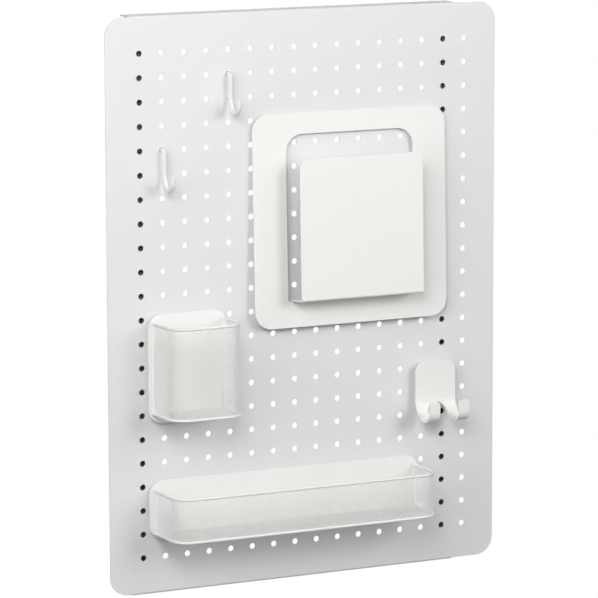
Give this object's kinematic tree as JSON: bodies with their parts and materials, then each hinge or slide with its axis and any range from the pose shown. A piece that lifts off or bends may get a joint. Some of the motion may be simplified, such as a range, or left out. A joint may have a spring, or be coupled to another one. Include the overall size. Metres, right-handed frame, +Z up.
{
  "type": "pegboard tool wall",
  "caption": "Tall white steel pegboard with rounded corners, hung with wire hooks, a folded file holder, a double hook, a mesh cup and a long mesh tray.",
  "frame": {"origin": "centre of the four wall-screw holes, on the wall plane behind the board", "axes": "+X to the right seen from the front, +Y into the wall, +Z up"},
  "size_m": [0.4572, 0.0853, 0.612],
  "materials": {
    "board_white": "cool white powder coat, satin",
    "rail_white": "cool white powder coat, satin",
    "hook_white": "warm white powder coat over round wire",
    "sheet_white": "warm white powder coat over folded sheet",
    "mesh_white": "warm white powder coat over fine steel mesh",
    "rim_white": "warm white powder coat over round wire",
    "peg_white": "warm white powder coat, worn thin where it rubs"
  },
  "bodies": {
    "board": {"pegboard_panel": "board_white", "left_wall_rail": "rail_white", "right_wall_rail": "rail_white"},
    "upper_hook": {"upper_wire_hook": "hook_white", "upper_wire_hook_pin": "peg_white"},
    "lower_hook": {"lower_wire_hook": "hook_white", "lower_wire_hook_pin": "peg_white"},
    "file_holder": {"file_holder_sheet": "sheet_white", "file_holder_hanger_pegs": "peg_white", "file_holder_standoff_pins": "peg_white"},
    "double_hook": {"double_hook_sheet": "sheet_white", "double_hook_hanger_pegs": "peg_white", "double_hook_standoff_pins": "peg_white"},
    "cup": {"cup_back_plate": "sheet_white", "cup_side_wires": "rim_white", "cup_top_rim": "rim_white", "cup_bottom_rim": "rim_white", "cup_mesh_wall": "mesh_white", "cup_mesh_floor": "mesh_white", "cup_hanger_pegs": "peg_white", "cup_standoff_pins": "peg_white"},
    "tray": {"tray_back_plate": "sheet_white", "tray_side_wires": "rim_white", "tray_top_rim": "rim_white", "tray_bottom_rim": "rim_white", "tray_mesh_wall": "mesh_white", "tray_mesh_floor": "mesh_white", "tray_hanger_pegs": "peg_white", "tray_standoff_pins": "peg_white"}
  },
  "joints": [
    {"name": "upper_hook_tilt", "type": "hinge", "parent": "board", "child": "upper_hook", "pos_m": [0, -0.01845, 0.2513], "axis": [-1, 0, 0], "range_deg": [0, 60]},
    {"name": "lower_hook_tilt", "type": "hinge", "parent": "board", "child": "lower_hook", "pos_m": [0, -0.01845, 0.1751], "axis": [-1, 0, 0], "range_deg": [0, 60]},
    {"name": "file_holder_tilt", "type": "hinge", "parent": "board", "child": "file_holder", "pos_m": [0, -0.01845, 0.2005], "axis": [-1, 0, 0], "range_deg": [0, 60]},
    {"name": "double_hook_tilt", "type": "hinge", "parent": "board", "child": "double_hook", "pos_m": [0, -0.01845, -0.0789], "axis": [-1, 0, 0], "range_deg": [0, 60]},
    {"name": "cup_tilt", "type": "hinge", "parent": "board", "child": "cup", "pos_m": [0, -0.01845, -0.0027], "axis": [-1, 0, 0], "range_deg": [0, 60]},
    {"name": "tray_tilt", "type": "hinge", "parent": "board", "child": "tray", "pos_m": [0, -0.01845, -0.1805], "axis": [-1, 0, 0], "range_deg": [0, 50]}
  ]
}
